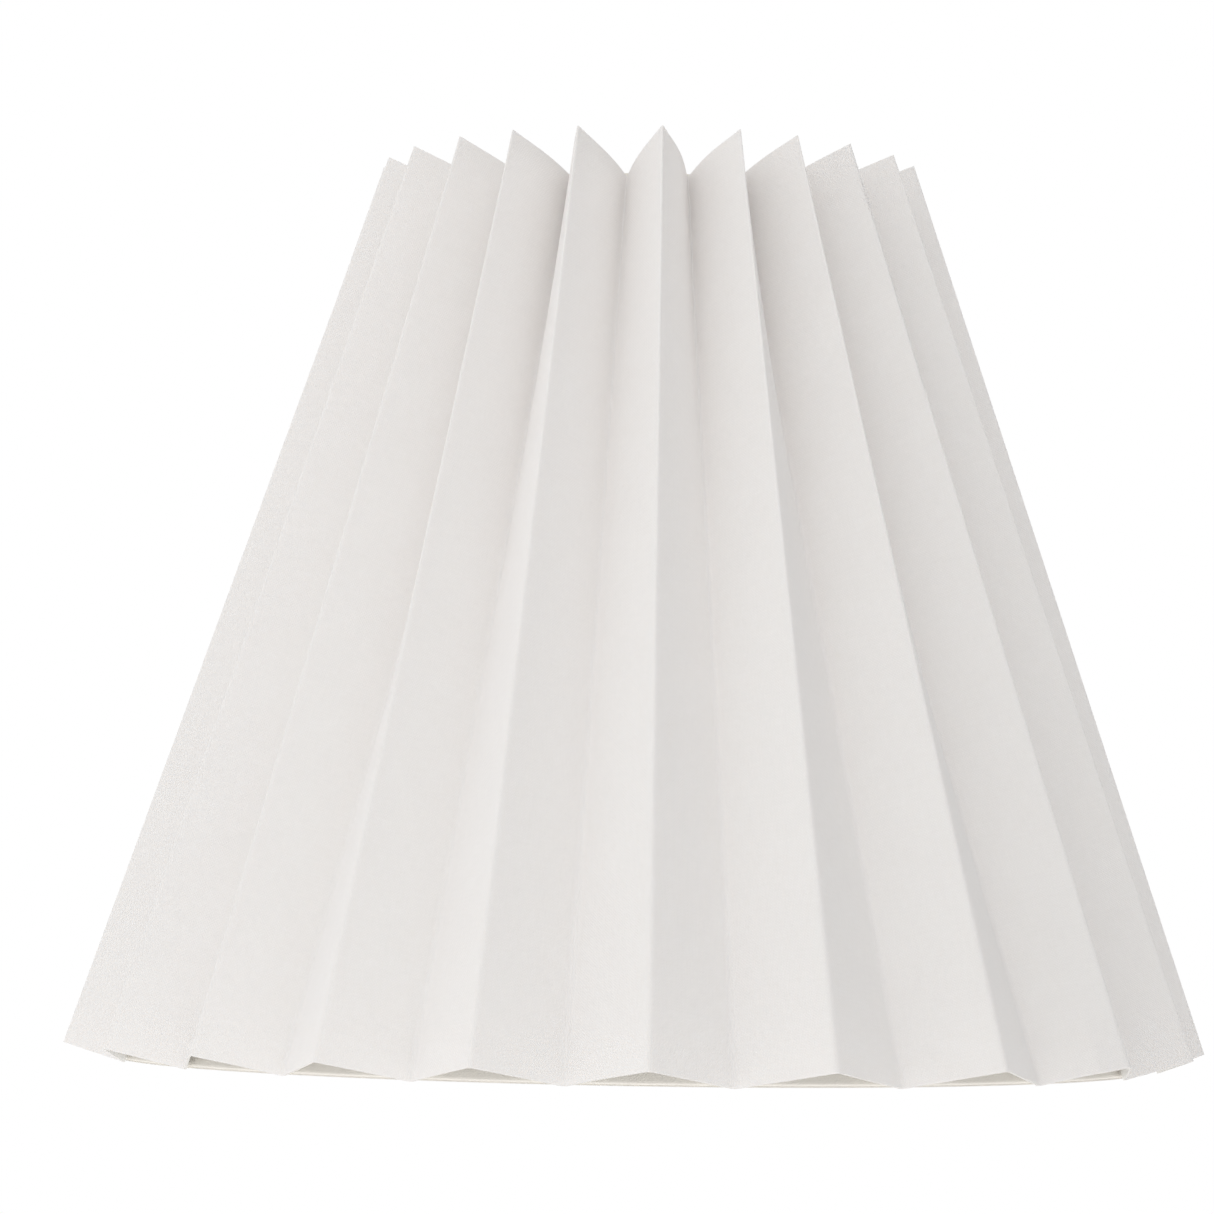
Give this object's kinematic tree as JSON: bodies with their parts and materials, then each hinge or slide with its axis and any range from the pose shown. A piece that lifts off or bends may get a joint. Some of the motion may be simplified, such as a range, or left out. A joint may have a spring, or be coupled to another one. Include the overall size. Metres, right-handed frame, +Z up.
{
  "type": "lamp shade",
  "caption": "Pleated empire lamp shade: a folded cloth cone over a smooth liner, with taped wire rings and a three-armed spider that seats on a lamp's harp.",
  "frame": {"origin": "on the shade's axis at the level of its bottom edge, where it would stand on a table", "axes": "+Z up along the shade's axis, -Y the front with a pleat ridge in its middle, +X to the right seen from the front"},
  "size_m": [0.3526, 0.356, 0.2801],
  "materials": {
    "pleated_cloth": "white plain-weave cloth laminated to stiff film, matt, with pressed folds",
    "liner_film": "off-white cloth-faced styrene film, matt, with one overlapped seam",
    "edge_tape": "woven beige cotton tape, glued over the edge",
    "frame_paint": "white powder-coated steel wire and stamping, satin, with small marks where they are welded and clamped"
  },
  "bodies": {
    "root": {"pleated_cover": "pleated_cloth", "liner": "liner_film", "bottom_ring": "frame_paint", "top_ring": "frame_paint", "bottom_tape": "edge_tape", "top_tape": "edge_tape", "spider_hub": "frame_paint", "spider_arm_1": "frame_paint", "spider_arm_2": "frame_paint", "spider_arm_3": "frame_paint"}
  },
  "joints": []
}
